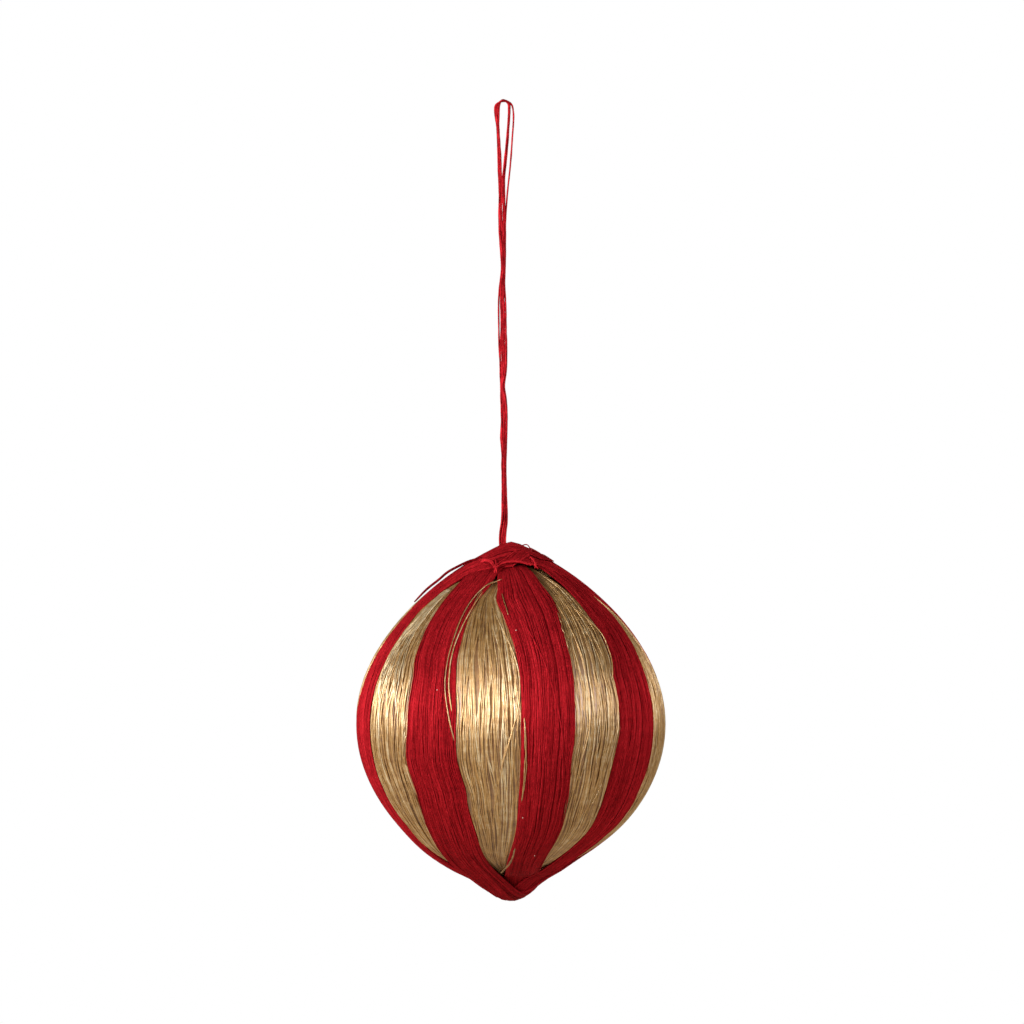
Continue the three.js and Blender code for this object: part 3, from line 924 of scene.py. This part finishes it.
tieThreads = {
    # The thread that holds the winding down at the front
    "paths": [[(13.4, -55), (13.8, -32.4), (15.5, -22.7), (18.4, -17.2), (16.4, -12.6), (15.1, 1.3),
               (15.5, 14.0), (16.8, 23.7), (14.6, 30.4), (12.3, 33.1)],
              [(14.2, -50), (14.2, -32.0), (15.9, -22.7), (17.8, -16.9), (16.0, -11.6), (14.8, 1.3),
               (15.2, 14.0), (16.2, 24.2), (15.4, 30.9), (13.3, 34.0)],
              [(14.6, -48), (14.8, -31.5), (16.5, -23.0), (18.2, -18.0), (15.6, -12.0), (14.5, 1.3),
               (14.9, 14.0), (16.0, 22.2), (16.4, 28.0), (17.6, 33.0)]],
    "shake": 0.15, "seed": 85, "steps": 90, "diameter": 0.42 * mm,
    "lift": 0.40 * mm, "sink": 0.9 * mm, "tone": 0.85,
}
knots = {
    # The short turns of thread at both ends of the tie
    "paths": [[(13.6, -22.6), (16.6, -18.6), (20.8, -16.6)], [(14.6, -21.2), (17.2, -17.6), (20.2, -15.2)],
              [(11.8, 32.2), (14.6, 31.2), (17.0, 29.6)], [(12.4, 34.2), (14.8, 32.4), (16.8, 31.2)]],
    "shake": 0.1, "seed": 88, "steps": 30, "diameter": 0.42 * mm,
    "lift": 0.62 * mm, "sink": 1.3 * mm, "tone": 0.75,
}
looseRed = {
    # Red threads that stand off the surface, in mm across, to the front and down: one at the upper left
    # and one that arches over the top
    "paths": [[(-7.2, 5.5, 147.6), (-11.0, 4.8, 148.5), (-15.3, 4.2, 150.5), (-18.3, 3.6, 152.2),
               (-21.0, 3.0, 154.5), (-25.0, 2.0, 157.7), (-29.0, 1.4, 161.8)],
              [(-2.3, 15.9, 149.5), (1.3, 10.9, 146.9), (3.9, 7.4, 145.0), (6.2, 1.2, 143.4),
               (7.5, 0.2, 143.3), (8.6, 0.9, 144.5), (10.8, 3.6, 146.2)]],
    "diameters": [0.95 * mm, 0.42 * mm],
    "tones": [0.08, 0.6],
    "seeds": [0.056, 0.42],
    "steps": 70, "sides": 6,
    "taper": 0.5, "taperPower": 8,      # share of its thickness that a thread loses, and how late
}
specks = {
    # Pale specks: degrees from the top pole, degrees of longitude and mm across
    "places": [(50.8, 2.3, 0.36), (75.7, -29.0, 0.36), (125.1, 5.3, 0.30), (146.5, 19.1, 0.30)],
    "lift": 0.08 * mm,
    "flatness": 0.7,
    "rings": 7, "round": 10, "firstRing": 0.15,     # radians from a speck's own pole
    "mapLength": 0.3 * mm,
    "tone": 0.5,
    "colour": (0.75, 0.42, 0.36, 1), "paler": (1.0, 0.86, 0.78, 1),
    "mottle": 4000.0, "roughness": 0.6,
}


def makeLooseRed():
    # Tubes along the curves, with a radius that shrinks with a power of the way along
    steps, sides = looseRed["steps"], looseRed["sides"]
    paths = np.array([splineThrough(np.array(places) * mm * np.array([1, -1, -1]), steps)
                      for places in looseRed["paths"]])
    outward = np.broadcast_to(np.array([0.0, -1.0, 0.0]), paths.shape)
    taper = 1 - looseRed["taper"] * np.linspace(0, 1, steps) ** looseRed["taperPower"]
    grid = tubeGrid(paths, outward, np.array(looseRed["diameters"])[:, None] / 2 * taper, sides, False)
    faces, uvs = gridFaces(len(paths), steps, sides, False, lengthsOf(paths, False))
    tints, seeds = np.repeat([looseRed["tones"], looseRed["seeds"]], steps * sides, axis=1)
    piece = addMesh("loose_red", grid.reshape(-1, 3), faces, uvs, tints, seeds, redMaterial)
    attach(piece, "root")


def speckMaterial():
    material, tree, surface = newMaterial("pale_speck")
    spot = addNode(tree, "ShaderNodeTexNoise", Scale=specks["mottle"])
    tree.links.new(addNode(tree, "ShaderNodeTexCoord").outputs["Object"], spot.inputs["Vector"])
    colour = mixColour(tree, spot.outputs["Fac"], specks["colour"], specks["paler"])
    tree.links.new(colour, surface.inputs["Base Color"])
    surface.inputs["Roughness"].default_value = specks["roughness"]
    return material


def makeSpecks():
    # Small flattened balls: rings of points by angle round and angle down
    places = np.array(specks["places"])
    count, rings, points = len(places), specks["rings"], specks["round"]
    middle, way = onSurface(places[:, :2], np.full(count, specks["lift"]))
    side = np.cross(way, [0, 0, 1.0])
    side /= np.linalg.norm(side, axis=1, keepdims=True)
    up = np.cross(side, way)
    down = np.linspace(specks["firstRing"], np.pi - specks["firstRing"], rings)[None, :, None, None]
    around = (np.arange(points) / points * 2 * np.pi)[None, None, :, None]
    reach = (places[:, 2] * mm / 2)[:, None, None, None]
    grid = (middle[:, None, None] + reach * (
        np.sin(down) * np.cos(around) * side[:, None, None]
        + np.sin(down) * np.sin(around) * up[:, None, None]
        + specks["flatness"] * np.cos(down) * way[:, None, None])).reshape(-1, 3)
    # The rings run against the tubes' own way round, so each face's corners are taken backwards
    faces, uvs = ([block[:, ::-1] for block in blocks]
                  for blocks in gridFaces(count, rings, points, False, specks["mapLength"]))
    piece = addMesh("pale_specks", grid, faces, uvs, np.full(len(grid), specks["tone"]), np.zeros(len(grid)),
                    speckMaterial())
    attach(piece, "root")


for name, settings in (("gold_strays", goldStrays), ("dim_strays", dimStrays), ("gold_slivers", goldSlivers),
                       ("gold_overlap", goldOverlap), ("gold_highlight_streaks", goldHighlightStreaks)):
    makeStrays(name, goldMaterial, settings)
for name, settings in (("cap_threads", capThreads), ("cut_end", cutEnd), ("tie_threads", tieThreads),
                       ("tie_knots", knots)):
    makeStrays(name, redMaterial, settings)
makeLooseRed()
makeSpecks()
print("stray threads ready")


# Floor, background and lights
stage = {
    "floorBelow": 0.45,
    "floorSize": 12.0,
    "floorPaint": (0.54, 0.49, 0.42, 1),
    "surround": 0.17,
    "surroundTint": (1.0, 0.88, 0.72, 1),
}
lamps = [
    # name, direction from the ball as degrees of azimuth and elevation, distance, size, watts, colour
    ("key_light", -57, 14.5, 1.5, (0.9, 0.65), 35, (1.0, 0.99, 0.975)),
    ("fill_light", 54, 18.5, 1.7, (0.8, 0.8), 20, (1.0, 0.98, 0.96)),
    ("back_light", 180, 0, 1.8, (1.3, 1.3), 9, (1.0, 1.0, 1.0)),
]


def makeStage():
    # A floor that the camera sees as plain white, that lights as a pale one and that is clear from below
    mesh = bpy.data.meshes.new("floor")
    half = stage["floorSize"] / 2
    height = cadBox[0][2] - stage["floorBelow"]
    corners = [(x * half, y * half, height) for x, y in ((-1, -1), (1, -1), (1, 1), (-1, 1))]
    mesh.from_pydata(corners, [], [(0, 1, 2, 3)])
    floor = bpy.data.objects.new("floor", mesh)
    bpy.context.collection.objects.link(floor)
    material, tree, _ = newMaterial("floor")
    tree.nodes.clear()
    out = tree.nodes.new("ShaderNodeOutputMaterial")
    pale = addNode(tree, "ShaderNodeBsdfDiffuse", Color=stage["floorPaint"])
    glow = addNode(tree, "ShaderNodeEmission", Color=(1, 1, 1, 1), Strength=1.0)
    clear = tree.nodes.new("ShaderNodeBsdfTransparent")
    rays = tree.nodes.new("ShaderNodeLightPath")
    side = tree.nodes.new("ShaderNodeNewGeometry")
    lit = tree.nodes.new("ShaderNodeMixShader")
    tree.links.new(rays.outputs["Is Camera Ray"], lit.inputs[0])
    tree.links.new(pale.outputs[0], lit.inputs[1])
    tree.links.new(glow.outputs[0], lit.inputs[2])
    both = tree.nodes.new("ShaderNodeMixShader")
    tree.links.new(side.outputs["Backfacing"], both.inputs[0])
    tree.links.new(lit.outputs[0], both.inputs[1])
    tree.links.new(clear.outputs[0], both.inputs[2])
    tree.links.new(both.outputs[0], out.inputs["Surface"])
    mesh.materials.append(material)


def makeWorld():
    # The camera sees a white background, and the ornament is lit by a softer, warmer one
    world = bpy.data.worlds.new("studio")
    bpy.context.scene.world = world
    world.use_nodes = True
    tree = world.node_tree
    shade = tree.nodes["Background"]
    seen = tree.nodes.new("ShaderNodeLightPath").outputs["Is Camera Ray"]
    tree.links.new(mixColour(tree, seen, stage["surroundTint"], (1, 1, 1, 1)), shade.inputs["Color"])
    strength = mathNode(tree, "MULTIPLY_ADD", seen, 1.0 - stage["surround"], stage["surround"])
    tree.links.new(strength, shade.inputs["Strength"])


def makeLights():
    aim = Vector(ballCentre)
    for name, azimuth, elevation, distance, size, watts, colour in lamps:
        azimuth, elevation = azimuth * deg, elevation * deg
        level = np.cos(elevation)
        way = np.array([np.sin(azimuth) * level, -np.cos(azimuth) * level, np.sin(elevation)])
        place = Vector(ballCentre + distance * way)
        data = bpy.data.lights.new(name, "AREA")
        data.shape = "RECTANGLE"
        data.size, data.size_y = size
        data.energy = watts
        data.color = colour
        lamp = bpy.data.objects.new(name, data)
        lamp.location = place
        lamp.rotation_mode = "QUATERNION"
        lamp.rotation_quaternion = (aim - place).to_track_quat("-Z", "Y")
        bpy.context.collection.objects.link(lamp)


makeStage()
makeWorld()
makeLights()
bpy.context.scene.view_settings.view_transform = "Standard"
print("stage and lights ready")
